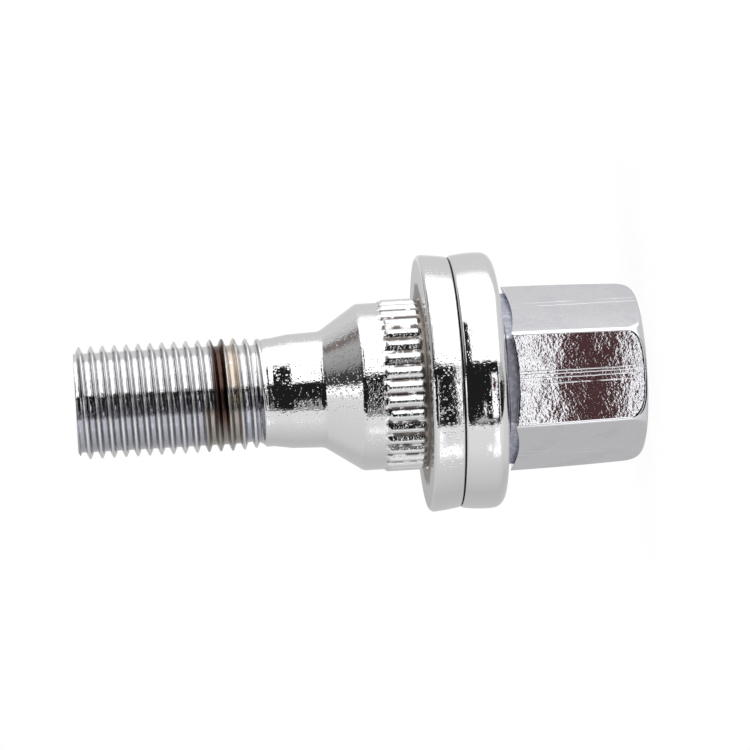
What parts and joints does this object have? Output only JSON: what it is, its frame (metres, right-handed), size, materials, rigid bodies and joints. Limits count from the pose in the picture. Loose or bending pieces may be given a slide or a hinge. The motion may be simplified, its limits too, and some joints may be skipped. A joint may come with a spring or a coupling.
{
  "type": "wheel bolt",
  "caption": "Wheel bolt with a capped hexagon head, a round flange, a captive washer behind a knurled collar, a cone and a threaded end.",
  "frame": {"origin": "middle of the flat end face of the head, which the bolt stands on", "axes": "+Z along the bolt's axis from the head to the threaded tip; +X through a corner of the hexagon, -Y through the middle of a flat"},
  "size_m": [0.0272, 0.0272, 0.0595],
  "materials": {
    "plated_steel": "bright plating over rolled and turned steel, with a brown stain at the run-out of the thread",
    "plated_sheet": "bright pressed sheet with a light orange-peel texture and fine drawing lines",
    "plated_washer": "bright plating over turned steel"
  },
  "bodies": {
    "bolt_body": {"bolt": "plated_steel", "head_cap": "plated_sheet"},
    "loose_washer": {"washer": "plated_washer"}
  },
  "joints": [
    {"name": "washer_spin", "type": "hinge", "parent": "bolt_body", "child": "loose_washer", "pos_m": [0, 0, 0.02135], "axis": [0, 0, 1], "continuous": true}
  ]
}
